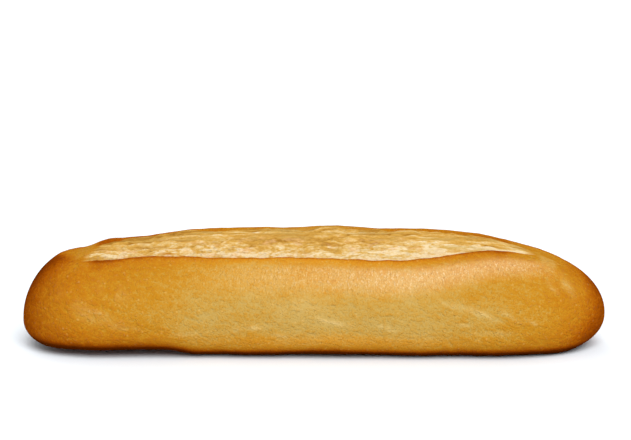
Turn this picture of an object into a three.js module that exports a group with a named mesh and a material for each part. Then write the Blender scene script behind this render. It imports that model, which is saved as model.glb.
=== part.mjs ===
// A long sandwich roll, baked whole, with one lengthwise score that opened in the oven.
// Millimetres, +Z up, +X along the roll. The score's low lip faces -Y, and the origin is the middle of the base.
// The form is a sphere whose poles are the roll's two tips. Each of its points is moved onto the loaf: a point's
// place between the poles gives a station along the roll, and its turn about the poles a place round the section.
import * as THREE from "three";
import { mergeVertices } from "three/addons/utils/BufferGeometryUtils.js";

const { clamp, degToRad, lerp, smoothstep } = THREE.MathUtils;

// Driving dimensions of the loaf
const LENGTH = 280;
const WIDTH = 72;
const BODY_HEIGHT = 48.2; // of the dome before the score bursts
const WAIST = 0.05; // share of the width lost from the middle to the tips, before they round off
const SWAY = -1; // sideways wander of the centre line

// The burst, which lifts the crown between the score's ends and carries it towards +Y
const BURST = { rise: 6.2, lean: 7.9, left: -111, right: 120, power: 2.65, ease: 1.4 };

// Height of the widest part: at the blunt left tip, along the body and at the tapered right tip
const LEFT_NOSE = 12.7;
const BODY_NOSE = 18.4;
const RIGHT_NOSE = 15.3;
const NOSE_REACH = 90;

// Length over which each end rounds off, in plan, over the top and underneath
const LEFT_END = { plan: 42, top: 45, topPower: 2.55, under: 19.4 };
const RIGHT_END = { plan: 54, top: 93, topPower: 3.45, under: 30.7 };
const PLAN_POWER = 2.1;
const UNDER_ROUND = 2;

// Squareness of the section, above and below its widest part: 2 is an ellipse
const DOME_POWER = 2.2;
const UNDER_POWER = 3;

// The base: what the tray flattens off the underside, how soft its edge is, and where it arches clear
const BASE_CUT = 2;
const BASE_BLEND = 1;
const LEFT_ARCH = { lift: 2.6, from: -71, to: -53 };
const MIDDLE_ARCH = { lift: 0.8, at: 8, reach: 26 };

// The score: its ends along X, the angles of its lips from the vertical, and how it opens
const SCORE = { left: -113, right: 108, leftTaper: 60, rightTaper: 110 };
const NEAR_LIP_ANGLE = 0.722;
const FAR_LIP_ANGLE = -0.05;
const CLOSED_ANGLE = 0.335; // where the two lips meet
const LEAST_OPENING = 0.1; // share of the width that the lips keep past the ends, where the score is only a line
const LIP_WAVES = [
  { turns: 2, swing: 0.062, phase: 0.913 },
  { turns: 3, swing: 0.05, phase: -1.928 },
];
const NEAR_LIP = { curl: 0.6, reach: 5, drop: 2.4, fade: 0.32 };
const FAR_LIP = { curl: 0.4, reach: 5, drop: 1.2, fade: 0.1 };
const LIP_WALL = 0.07; // share of the score's width that a lip's torn wall takes
const OPENING_RAMP = { left: 22, right: 40 }; // length over which the score reaches its depth

// The crown at the score's left end: a low ridge before it, and a dip behind its far lip where it starts
const LEFT_RIDGE = { rise: 0.8, at: -122, reach: 15 };
const LEFT_NOTCH = { depth: 1.8, at: -111.5, reach: 12.5, behind: 0.35, spread: 0.9 };

// Torn strands of the crumb: crests that run along the roll, so many across the score, each wandering over a length
const STRANDS = [
  { height: 0.6, count: 2.3, wander: 0.34, length: 83, phase: 0.6 },
  { height: 0.42, count: 3.7, wander: 0.45, length: 47, phase: 2.4 },
];
const CREST_POWER = 0.7; // below 1 the crests are rounded and the tears between them sharp

// Slow unevenness of the crust, and how close to the tips it dies away
const DENTS = [
  { depth: 0.34, length: 58, around: 2, phase: 0.7 },
  { depth: 0.26, length: 37, around: 3, phase: 2.9 },
];
const DENT_FADE = 30;

// Grid: sections along the roll and points round each. The lips and the base's edges fall on grid lines.
const SECTIONS = 78;
const RING_POINTS = 72;
const LIP_TURN = degToRad(70);
const BASE_TURN = degToRad(150);
const BASE_ANGLE = 2.2; // the base's edge, from the vertical
const MERGE_REACH = 1e-3;

const TINY = 1e-9;

// 0 at a tip and 1 from `reach` inwards, round in between.
function endRound(distance, reach, power) {
  const outside = clamp(1 - distance / reach, 0, 1);
  return Math.sqrt(1 - outside ** power);
}

// 1 at the middle of a stretch, falling smoothly to 0 at its reach.
function hump(offset, reach) {
  return 1 - smoothstep(Math.abs(offset), 0, reach);
}

// The larger of two values, rounded where they cross.
function softMax(a, b, blend) {
  const share = clamp(0.5 + (0.5 * (a - b)) / blend, 0, 1);
  return lerp(b, a, share) + blend * share * (1 - share);
}

// Adds up the values of a list of waves.
function total(waves, valueOf) {
  return waves.reduce((sum, wave) => sum + valueOf(wave), 0);
}

// How far the score's burst has lifted the crown at x, from 0 to 1.
function burstAt(x) {
  const middle = (BURST.left + BURST.right) / 2;
  const half = (BURST.right - BURST.left) / 2;
  return clamp(1 - Math.abs((x - middle) / half) ** BURST.power, 0, 1) ** BURST.ease;
}

// Height of the underside at x: 0 where it lies on the tray, more where it arches clear.
function baseHeightAt(x) {
  const left = LEFT_ARCH.lift * (1 - smoothstep(x, LEFT_ARCH.from, LEFT_ARCH.to));
  const middle = MIDDLE_ARCH.lift * hump(x - MIDDLE_ARCH.at, MIDDLE_ARCH.reach);
  return left + middle;
}

// Sizes of the section at x: half width, height of the widest part, rise above it and drop below it.
function stationAt(x) {
  const fromLeft = LENGTH / 2 + x;
  const fromRight = LENGTH / 2 - x;
  const ends = (key, leftPower, rightPower = leftPower) =>
    endRound(fromLeft, LEFT_END[key], leftPower) * endRound(fromRight, RIGHT_END[key], rightPower);
  const nose =
    BODY_NOSE +
    (LEFT_NOSE - BODY_NOSE) * (1 - smoothstep(fromLeft, 0, NOSE_REACH)) +
    (RIGHT_NOSE - BODY_NOSE) * (1 - smoothstep(fromRight, 0, NOSE_REACH));
  const burst = burstAt(x);
  const base = baseHeightAt(x);
  const dome = (BODY_HEIGHT - nose) * ends("top", LEFT_END.topPower, RIGHT_END.topPower);
  const ridge = LEFT_RIDGE.rise * clamp(1 - Math.abs(x - LEFT_RIDGE.at) / LEFT_RIDGE.reach, 0, 1);
  return {
    halfWidth: (WIDTH / 2) * ends("plan", PLAN_POWER) * (1 - WAIST * (x / (LENGTH / 2)) ** 2),
    nose,
    base,
    rise: dome + BURST.rise * burst + ridge,
    drop: (nose - base + BASE_CUT) * ends("under", UNDER_ROUND),
    lean: BURST.lean * Math.sqrt(burst),
    sway: SWAY * Math.sin((2 * Math.PI * x) / LENGTH),
    inland: smoothstep(Math.min(fromLeft, fromRight), 0, DENT_FADE),
  };
}

// The lips' angles at x, and how far the score is open there, from 0 to 1.
function scoreAt(x) {
  const lens =
    endRound(clamp(x - SCORE.left, 0, LENGTH), SCORE.leftTaper, 2) *
    endRound(clamp(SCORE.right - x, 0, LENGTH), SCORE.rightTaper, 2);
  const width = Math.max(lens, LEAST_OPENING);
  const wander = total(LIP_WAVES, ({ turns, swing, phase }) =>
    swing * Math.sin((2 * Math.PI * turns * x) / LENGTH + phase),
  );
  return {
    near: lerp(CLOSED_ANGLE, NEAR_LIP_ANGLE, width) + wander,
    far: lerp(CLOSED_ANGLE, FAR_LIP_ANGLE, width) + wander * (1 - lens),
    opening:
      smoothstep(x, SCORE.left, SCORE.left + OPENING_RAMP.left) *
      (1 - smoothstep(x, SCORE.right - OPENING_RAMP.right, SCORE.right)),
  };
}

// Angle from the vertical of a grid line, and its place across the score: 0 on the near lip and 1 on the far lip.
function placeRound(turn, score) {
  const across = (LIP_TURN - turn) / (2 * LIP_TURN);
  const size = Math.abs(turn);
  const side = Math.sign(turn) || 1;
  let angle = lerp(score.near, score.far, across);
  if (size > BASE_TURN) {
    const share = (size - BASE_TURN) / (Math.PI - BASE_TURN);
    angle = side * lerp(BASE_ANGLE, Math.PI, share);
  } else if (size > LIP_TURN) {
    const share = (size - LIP_TURN) / (BASE_TURN - LIP_TURN);
    angle = lerp(side > 0 ? score.near : score.far, side * BASE_ANGLE, share);
  }
  return { angle, across };
}

// Crests and tears of the torn crumb.
function strands(x, across) {
  return total(STRANDS, ({ height, count, wander, length, phase }) => {
    const place = count * across + wander * Math.sin((2 * Math.PI * x) / length + phase);
    return height * (2 * Math.abs(Math.sin(Math.PI * place)) ** CREST_POWER - 1);
  });
}

// Slow swelling and hollowing of the crust.
function dents(x, angle) {
  return total(DENTS, ({ depth, length, around, phase }) =>
    depth * Math.sin((2 * Math.PI * x) / length + phase) * Math.cos(around * angle + phase),
  );
}

// How far the score lifts or sinks the surface.
function scoreOffset(x, angle, across, radius, score) {
  const past = (lip, turn) => lip.curl * Math.exp(-(((turn * radius) / lip.reach) ** 2));
  if (across <= 0) return score.opening * past(NEAR_LIP, angle - score.near);
  if (across >= 1) return score.opening * past(FAR_LIP, angle - score.far);
  const torn = smoothstep(across, 0, LIP_WALL) * smoothstep(1 - across, 0, LIP_WALL);
  const sunk =
    NEAR_LIP.drop * Math.exp(-across / NEAR_LIP.fade) +
    FAR_LIP.drop * Math.exp(-(1 - across) / FAR_LIP.fade);
  const edge = lerp(NEAR_LIP.curl, FAR_LIP.curl, across);
  return score.opening * lerp(edge, strands(x, across) - sunk, torn);
}

// The loaf's surface at a station and a turn round the section.
function loafPoint(x, turn) {
  const station = stationAt(x);
  const score = scoreAt(x);
  const { angle, across } = placeRound(turn, score);
  const up = Math.cos(angle);
  const out = Math.sin(angle);
  const power = up > 0 ? DOME_POWER : UNDER_POWER;
  const height = up > 0 ? station.rise : station.drop;
  const wide = Math.abs(out / (station.halfWidth + TINY)) ** power;
  const tall = Math.abs(up / (height + TINY)) ** power;
  const radius = (wide + tall) ** (-1 / power);
  const behind = angle - score.far + LEFT_NOTCH.behind;
  const notch = hump(x - LEFT_NOTCH.at, LEFT_NOTCH.reach) * hump(behind, LEFT_NOTCH.spread);
  const uneven = (dents(x, angle) - LEFT_NOTCH.depth * notch) * station.inland;
  const reach = radius + uneven + scoreOffset(x, angle, across, radius, score);
  const above = reach * up;
  const leaning = above > 0 ? station.lean * (above / (station.rise + TINY)) ** 2 : 0;
  const y = station.sway - reach * out + leaning;
  return new THREE.Vector3(x, y, softMax(station.nose + above, station.base, BASE_BLEND));
}

// The roll's solid: a sphere with its poles along X, each point moved onto the loaf. Sections crowd at the tips.
function rollGeometry() {
  const ball = new THREE.SphereGeometry(1, RING_POINTS, SECTIONS).rotateZ(-Math.PI / 2);
  ball.deleteAttribute("normal");
  ball.deleteAttribute("uv");
  const points = ball.getAttribute("position");
  const point = new THREE.Vector3();
  for (let i = 0; i < points.count; i += 1) {
    point.fromBufferAttribute(points, i);
    const along = 1 - (2 * Math.acos(clamp(point.x, -1, 1))) / Math.PI;
    const x = (LENGTH / 2) * (1.5 * along - 0.5 * along ** 3);
    const { x: px, y: py, z: pz } = loafPoint(x, Math.atan2(-point.y, point.z));
    points.setXYZ(i, px, py, pz);
  }
  const solid = mergeVertices(ball, MERGE_REACH);
  solid.computeBoundingBox();
  const middle = solid.boundingBox.getCenter(new THREE.Vector3());
  solid.translate(-middle.x, -middle.y, -solid.boundingBox.min.z);
  solid.computeVertexNormals();
  return solid;
}

const crust = new THREE.MeshStandardMaterial({ color: 0xd9a550, roughness: 0.55, metalness: 0 });

const roll = new THREE.Mesh(rollGeometry(), crust);
roll.name = "roll";

const sandwichRoll = new THREE.Group();
sandwichRoll.add(roll);

export default sandwichRoll;
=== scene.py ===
"""Looks of a long sandwich roll: a golden crust round a loaf whose score opened to pale torn crumb.

The roll is one piece. It starts as a sphere whose poles are the roll's two tips, and each vertex is moved
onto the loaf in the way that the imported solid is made, with the finer relief of crust and crumb added. Each
vertex also keeps marks, such as how browned it is, that the finish reads. Metres, +Z up, +X along the roll,
-Y towards the camera.
"""

import logging
import math
from dataclasses import dataclass, field
from enum import Enum

import bmesh
import bpy
from bpy.types import Material, Mesh, Node, NodeSocket, NodeTree, Object
from mathutils import Matrix, Vector, noise


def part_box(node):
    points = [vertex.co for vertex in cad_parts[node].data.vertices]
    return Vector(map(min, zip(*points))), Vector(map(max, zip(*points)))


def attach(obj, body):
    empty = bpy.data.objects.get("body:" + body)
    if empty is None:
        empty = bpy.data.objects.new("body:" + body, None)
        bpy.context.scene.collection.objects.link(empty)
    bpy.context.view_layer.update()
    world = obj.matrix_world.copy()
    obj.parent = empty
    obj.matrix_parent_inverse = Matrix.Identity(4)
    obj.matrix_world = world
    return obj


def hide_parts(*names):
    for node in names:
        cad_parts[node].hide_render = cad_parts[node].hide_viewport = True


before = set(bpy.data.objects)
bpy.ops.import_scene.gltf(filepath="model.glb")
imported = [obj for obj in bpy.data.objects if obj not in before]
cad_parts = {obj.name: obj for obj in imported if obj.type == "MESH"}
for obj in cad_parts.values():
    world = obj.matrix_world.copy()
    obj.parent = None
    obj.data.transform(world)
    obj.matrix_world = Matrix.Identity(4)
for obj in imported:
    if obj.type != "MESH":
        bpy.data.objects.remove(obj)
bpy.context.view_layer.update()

LOG = logging.getLogger("sandwich_roll")
MM = 0.001
TINY = 1e-9
NODE = "roll"
BODY = "root"
PHOTO_WIDTH_PX = 631
LEVEL_SHRED = 0.5

Axes = tuple[float, float, float]
Colour = tuple[float, float, float, float]
Stops = tuple[tuple[float, str], ...]


class Mark(Enum):
    """What each vertex of the roll keeps for the finish to read."""

    CRUMB = "crumb"
    BROWNING = "browning"
    TOAST = "toast"
    PITS = "pits"
    DRAWN = "drawn"
    WRINKLES = "wrinkles"
    STRETCHED = "stretched"
    SHEEN = "sheen"
    # Orange light painted into the crust's colour, not a colour of its own.
    GLOW = "glow"


def clamp(value: float, low: float = 0.0, high: float = 1.0) -> float:
    """Keeps a value between two limits."""
    return max(low, min(high, value))


def lerp(start: float, end: float, share: float) -> float:
    """Goes from start to end by a share."""
    return start + (end - start) * share


def smoothstep(value: float, low: float, high: float) -> float:
    """Rises smoothly from 0 at low to 1 at high."""
    share = clamp((value - low) / (high - low))
    return share * share * (3 - 2 * share)


def hump(offset: float, reach: float) -> float:
    """Is 1 at the middle of a stretch and falls smoothly to 0 at its reach."""
    return 1 - smoothstep(abs(offset), 0, reach)


def end_round(distance: float, reach: float, power: float) -> float:
    """Is 0 at a tip and 1 from a reach inwards, round in between."""
    outside = clamp(1 - distance / reach)
    return math.sqrt(1 - outside**power)


def soft_max(a: float, b: float, blend: float) -> float:
    """Gives the larger of two values, rounded where they cross."""
    share = clamp(0.5 + 0.5 * (a - b) / blend)
    return lerp(b, a, share) + blend * share * (1 - share)


def rough(place: Vector, finer: float, share: float) -> float:
    """Gives noise at a point, with a share of a finer one added."""
    return noise.noise(place) + share * noise.noise(place * finer)


def paint(hexa: str) -> Colour:
    """Turns a colour as screens show it into the linear one that shaders use.

    Args:
        hexa: six hexadecimal digits, red first.

    Returns:
        Red, green, blue and an alpha of 1.
    """
    shown = [int(hexa[i:i + 2], 16) / 255 for i in (0, 2, 4)]
    red, green, blue = (((c + 0.055) / 1.055) ** 2.4 if c > 0.04045 else c / 12.92 for c in shown)
    return red, green, blue, 1.0


@dataclass(frozen=True)
class Ramp:
    """A smooth rise from 0 at one value to 1 at another, or a fall where the first is the larger."""

    zero: float
    one: float

    def __call__(self, value: float) -> float:
        """Says how far up the ramp a value is."""
        return smoothstep(value, self.zero, self.one)


@dataclass(frozen=True)
class Band:
    """A stretch that is 1 in its middle and falls smoothly to 0 at its reach."""

    middle: float
    reach: float

    def __call__(self, value: float) -> float:
        """Says how near the middle a value is."""
        return hump(value - self.middle, self.reach)


@dataclass(frozen=True)
class Patch:
    """One patch of an effect: its strength, and where it lies along the roll and across its way."""

    strength: float
    along: Ramp | Band | None = None
    across: Ramp | Band | None = None

    def share(self, along: float, across: float = 0.0) -> float:
        """Says how strong the effect is at a place.

        Args:
            along: the place along the roll.
            across: the place across the patch's way.

        Returns:
            The strength there.
        """
        share = self.strength
        if self.along:
            share *= self.along(along)
        if self.across:
            share *= self.across(across)
        return share


@dataclass(frozen=True)
class End:
    """One end of the loaf: its nose's height and the lengths over which it rounds off."""

    nose: float
    plan: float
    top: float
    top_power: float
    under: float


@dataclass(frozen=True)
class Lip:
    """One lip of the score: its angle from the vertical, its curl, and the torn wall's drop behind it."""

    angle: float
    curl: float
    reach: float
    drop: float
    fade: float


@dataclass(frozen=True)
class Wave:
    """One slow wave of the near lip along the roll."""

    turns: float
    swing: float
    phase: float


@dataclass(frozen=True)
class Strand:
    """One family of torn strands: how high, how many across the score, and how they wander along it."""

    height: float
    count: float
    wander: float
    length: float
    phase: float


@dataclass(frozen=True)
class Dent:
    """One family of slow swells in the crust."""

    depth: float
    length: float
    around: float
    phase: float


@dataclass(frozen=True)
class Section:
    """The loaf's section at one station along the roll."""

    x: float
    half_width: float
    nose: float
    base: float
    rise: float
    drop: float
    lean: float
    sway: float
    inland: float
    near: float
    far: float
    opening: float


@dataclass(frozen=True)
class LoafForm:
    """The loaf's form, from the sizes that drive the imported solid.

    Only the fold of the lips is sharper here, and the score's start blunter.
    """

    length: float
    width: float = 72 * MM
    body_height: float = 48.2 * MM
    body_nose: float = 18.4 * MM
    nose_reach: float = 90 * MM
    waist: float = 0.05
    sway: float = -1 * MM
    burst_rise: float = 6.2 * MM
    burst_lean: float = 7.9 * MM
    burst_left: float = -111 * MM
    burst_right: float = 120 * MM
    burst_power: float = 2.65
    burst_ease: float = 1.4
    left: End = End(nose=12.7 * MM, plan=42 * MM, top=45 * MM, top_power=2.55, under=19.4 * MM)
    right: End = End(nose=15.3 * MM, plan=54 * MM, top=93 * MM, top_power=3.45, under=30.7 * MM)
    plan_power: float = 2.1
    under_round: float = 2
    dome_power: float = 2.2
    under_power: float = 3
    base_cut: float = 2 * MM
    base_blend: float = 1 * MM
    left_arch_lift: float = 2.6 * MM
    left_arch: Ramp = Ramp(-71 * MM, -53 * MM)
    middle_arch_lift: float = 0.8 * MM
    middle_arch: Band = Band(8 * MM, 26 * MM)
    score_left: float = -113 * MM
    score_right: float = 108 * MM
    left_taper: float = 50 * MM
    right_taper: float = 110 * MM
    taper_power: float = 2
    near_lip: Lip = Lip(angle=0.722, curl=0.6 * MM, reach=5 * MM, drop=2.4 * MM, fade=0.32)
    far_lip: Lip = Lip(angle=-0.05, curl=0.4 * MM, reach=5 * MM, drop=1.2 * MM, fade=0.1)
    closed_angle: float = 0.335
    least_opening: float = 0.1
    lip_waves: tuple[Wave, ...] = (Wave(2, 0.062, 0.913), Wave(3, 0.05, -1.928))
    lip_wall: float = 0.05
    left_ramp: float = 22 * MM
    right_ramp: float = 40 * MM
    ridge_rise: float = 0.8 * MM
    ridge_at: float = -122 * MM
    ridge_reach: float = 15 * MM
    notch_depth: float = 1.8 * MM
    notch: Band = Band(-111.5 * MM, 12.5 * MM)
    notch_behind: float = 0.35
    notch_spread: float = 0.9
    strands: tuple[Strand, ...] = (
        Strand(0.6 * MM, 2.3, 0.34, 83 * MM, 0.6),
        Strand(0.42 * MM, 3.7, 0.45, 47 * MM, 2.4),
    )
    crest_power: float = 0.7
    dents: tuple[Dent, ...] = (
        Dent(0.34 * MM, 58 * MM, 2, 0.7),
        Dent(0.26 * MM, 37 * MM, 3, 2.9),
    )
    dent_fade: float = 30 * MM
    lip_turn: float = math.radians(60)
    base_turn: float = math.radians(150)
    base_angle: float = 2.2

    def burst(self, x: float) -> float:
        """Says how far the score's burst has lifted the crown.

        Args:
            x: the station along the roll.

        Returns:
            The share, from 0 to 1.
        """
        middle = (self.burst_left + self.burst_right) / 2
        half = (self.burst_right - self.burst_left) / 2
        return clamp(1 - abs((x - middle) / half) ** self.burst_power) ** self.burst_ease

    def base_height(self, x: float) -> float:
        """Gives the underside's height at x: 0 where it lies flat, more where it arches clear."""
        left = self.left_arch_lift * (1 - self.left_arch(x))
        return left + self.middle_arch_lift * self.middle_arch(x)

    def section(self, x: float) -> Section:
        """Works out the section at one station.

        Args:
            x: the station along the roll.

        Returns:
            The section's sizes and the lips' angles there.
        """
        from_left = self.length / 2 + x
        from_right = self.length / 2 - x
        plan = end_round(from_left, self.left.plan, self.plan_power)
        plan *= end_round(from_right, self.right.plan, self.plan_power)
        top = end_round(from_left, self.left.top, self.left.top_power)
        top *= end_round(from_right, self.right.top, self.right.top_power)
        under = end_round(from_left, self.left.under, self.under_round)
        under *= end_round(from_right, self.right.under, self.under_round)
        nose = self.body_nose
        nose += (self.left.nose - self.body_nose) * (1 - smoothstep(from_left, 0, self.nose_reach))
        nose += (self.right.nose - self.body_nose) * (1 - smoothstep(from_right, 0, self.nose_reach))
        burst = self.burst(x)
        ridge = self.ridge_rise * clamp(1 - abs(x - self.ridge_at) / self.ridge_reach)
        base = self.base_height(x)
        lens = end_round(max(0.0, x - self.score_left), self.left_taper, self.taper_power)
        lens *= end_round(max(0.0, self.score_right - x), self.right_taper, self.taper_power)
        width = max(lens, self.least_opening)
        along = 2 * math.pi * x / self.length
        wander = sum(w.swing * math.sin(w.turns * along + w.phase) for w in self.lip_waves)
        opening = smoothstep(x, self.score_left, self.score_left + self.left_ramp)
        opening *= 1 - smoothstep(x, self.score_right - self.right_ramp, self.score_right)
        return Section(
            x=x,
            half_width=self.width / 2 * plan * (1 - self.waist * (2 * x / self.length) ** 2),
            nose=nose,
            base=base,
            rise=(self.body_height - nose) * top + self.burst_rise * burst + ridge,
            drop=(nose - base + self.base_cut) * under,
            lean=self.burst_lean * math.sqrt(burst),
            sway=self.sway * math.sin(along),
            inland=smoothstep(min(from_left, from_right), 0, self.dent_fade),
            near=lerp(self.closed_angle, self.near_lip.angle, width) + wander,
            far=lerp(self.closed_angle, self.far_lip.angle, width) + wander * (1 - lens),
            opening=opening,
        )

    def place_round(self, turn: float, near: float, far: float) -> tuple[float, float]:
        """Finds where a grid line lies round the section.

        Args:
            turn: the line's turn about the poles, 0 upwards and positive towards -Y.
            near: the near lip's angle.
            far: the far lip's angle.

        Returns:
            The line's angle from the vertical, and its place across the score from 0 to 1.
        """
        across = (self.lip_turn - turn) / (2 * self.lip_turn)
        size = abs(turn)
        side = math.copysign(1, turn)
        if size > self.base_turn:
            share = (size - self.base_turn) / (math.pi - self.base_turn)
            return side * lerp(self.base_angle, math.pi, share), across
        if size > self.lip_turn:
            share = (size - self.lip_turn) / (self.base_turn - self.lip_turn)
            return lerp(near if side > 0 else far, side * self.base_angle, share), across
        return lerp(near, far, across), across

    def radius(self, section: Section, angle: float) -> float:
        """Gives the bare loaf's distance from the section's middle.

        Args:
            section: the section.
            angle: the direction, from the vertical.

        Returns:
            The distance.
        """
        up = math.cos(angle)
        power = self.dome_power if up > 0 else self.under_power
        height = section.rise if up > 0 else section.drop
        wide = abs(math.sin(angle) / (section.half_width + TINY)) ** power
        tall = abs(up / (height + TINY)) ** power
        return (wide + tall) ** (-1 / power)

    def strand_height(self, x: float, across: float) -> float:
        """Gives the height of the torn strands in the score.

        Args:
            x: the station along the roll.
            across: the place across the score, from 0 to 1.

        Returns:
            The height over the torn floor.
        """
        height = 0.0
        for s in self.strands:
            place = s.count * across + s.wander * math.sin(2 * math.pi * x / s.length + s.phase)
            height += s.height * (2 * abs(math.sin(math.pi * place)) ** self.crest_power - 1)
        return height

    def dent_height(self, section: Section, angle: float) -> float:
        """Gives the slow swells of the crust, with the dip where the score starts.

        Args:
            section: the section.
            angle: the direction, from the vertical.

        Returns:
            The height over the bare loaf.
        """
        height = 0.0
        for d in self.dents:
            swell = math.sin(2 * math.pi * section.x / d.length + d.phase)
            height += d.depth * swell * math.cos(d.around * angle + d.phase)
        behind = angle - section.far + self.notch_behind
        dip = self.notch(section.x) * hump(behind, self.notch_spread)
        return (height - self.notch_depth * dip) * section.inland

    def place(self, section: Section, angle: float, reach: float) -> Vector:
        """Turns a direction and a distance from the section's middle into a point of the loaf.

        Args:
            section: the section.
            angle: the direction, from the vertical.
            reach: the distance.

        Returns:
            The point.
        """
        above = reach * math.cos(angle)
        lean = section.lean * (above / (section.rise + TINY)) ** 2 if above > 0 else 0.0
        y = section.sway - reach * math.sin(angle) + lean
        return Vector((section.x, y, soft_max(section.nose + above, section.base, self.base_blend)))


@dataclass(frozen=True)
class Relief:
    """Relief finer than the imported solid's: the lip's ragged edge, the crumb's tears and the crust's skin.

    Each kind of relief reads a slice of the noise that is its own.
    """

    ragged_swing: float = 0.014
    ragged_length: float = 9 * MM
    ragged_slice: tuple[float, float] = (0.3, 4.7)
    ragged_finer: float = 2.7
    ragged_finer_share: float = 0.5
    shred_height: float = 1.0 * MM
    shred_length: float = 18 * MM
    shred_width: float = 2.4 * MM
    shred_slice: float = 8.2
    warp: float = 3.0 * MM
    warp_length: float = 11 * MM
    warp_width: float = 6 * MM
    warp_slice: float = 1.7
    lump_height: float = 0.7 * MM
    lump_length: float = 7 * MM
    lump_width: float = 4.5 * MM
    lump_slice: float = 15.1
    pit_depth: float = 0.7 * MM
    pit_spacing: float = 2.3 * MM
    pit_size: float = 0.42
    pit_power: float = 0.7
    pit_slice: float = 0.5
    skin_height: float = 0.2 * MM
    skin_length: float = 9 * MM
    skin_finer: float = 2.3
    skin_finer_share: float = 0.6

    def ragged(self, x: float) -> float:
        """Gives the swing of the torn near edge at x, as an angle."""
        place = Vector((x / self.ragged_length, *self.ragged_slice))
        return self.ragged_swing * rough(place, self.ragged_finer, self.ragged_finer_share)

    def shred(self, x: float, w: float) -> float:
        """Says how near a crest of the torn shreds a place is.

        Args:
            x: the place along the roll.
            w: the distance across the score.

        Returns:
            1 on a crest, and about 0 in a tear.
        """
        spot = Vector((x / self.warp_length, w / self.warp_width, self.warp_slice))
        moved = w + self.warp * noise.noise(spot)
        place = Vector((x / self.shred_length, moved / self.shred_width, self.shred_slice))
        return 1 - abs(noise.noise(place)) * 2

    def lump(self, x: float, w: float) -> float:
        """Gives the crumb's soft lumps, from about -1 to 1."""
        return noise.noise(Vector((x / self.lump_length, w / self.lump_width, self.lump_slice)))

    def pit(self, x: float, w: float) -> float:
        """Says how deep in a burst bubble a place is.

        Args:
            x: the place along the roll.
            w: the distance across the score.

        Returns:
            The share, from 0 outside a bubble to 1 in its middle.
        """
        place = Vector((x / self.pit_spacing, w / self.pit_spacing, self.pit_slice))
        nearest = noise.voronoi(place)[0][0]
        return clamp(1 - nearest / self.pit_size) ** self.pit_power

    def skin(self, place: Vector) -> float:
        """Gives the crust's faint unevenness at a point."""
        return self.skin_height * rough(place / self.skin_length, self.skin_finer, self.skin_finer_share)


@dataclass(frozen=True)
class Spot:
    """One place on the roll: its section, its point, and where it lies to the score."""

    section: Section
    place: Vector
    angle: float
    across: float
    lip_gap: float
    near_side: bool
    shred: float
    pitted: float

    @property
    def torn(self) -> bool:
        """Says whether the place lies inside the score."""
        return 0 < self.across < 1

    @property
    def height(self) -> float:
        """Gives the height over the roll's underside."""
        return self.place.z - self.section.base


@dataclass(frozen=True)
class StretchMark:
    """One pale mark where the dough stretched its skin: its middle, length, tilt, width and strength.

    It wanders, and it breaks up along its length.
    """

    x: float
    z: float
    length: float
    tilt: float
    width: float
    strength: float
    widest: float = 4.0
    wander: float = 1.2
    wander_length: float = 6 * MM
    break_scale: float = 1.7
    breaks: Ramp = Ramp(-0.6, 0.0)

    def share(self, x: float, z: float) -> float:
        """Says how far the mark shows at a place on the roll's side.

        Args:
            x: the place along the roll.
            z: its height.

        Returns:
            The share, from 0 to the mark's strength.
        """
        turn = math.radians(self.tilt)
        along = (x - self.x) * math.cos(turn) + (z - self.z) * math.sin(turn)
        off = (z - self.z) * math.cos(turn) - (x - self.x) * math.sin(turn)
        if abs(along) > self.length / 2 or abs(off) > self.widest * self.width:
            return 0.0
        seed = Vector((along / self.wander_length, self.x / MM, self.z / MM))
        off += self.wander * self.width * noise.noise(seed)
        broken = self.breaks(noise.noise(seed * self.break_scale))
        return self.strength * broken * hump(along, self.length / 2) * math.exp(-((off / self.width) ** 2))


@dataclass(frozen=True)
class Scorch:
    """One place that the oven browned more: its middle, its reach and its strength."""

    x: float
    y: float
    z: float
    reach: float
    strength: float

    def share(self, place: Vector) -> float:
        """Says how far it browns a place."""
        return self.strength * hump((place - Vector((self.x, self.y, self.z))).length, self.reach)


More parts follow.
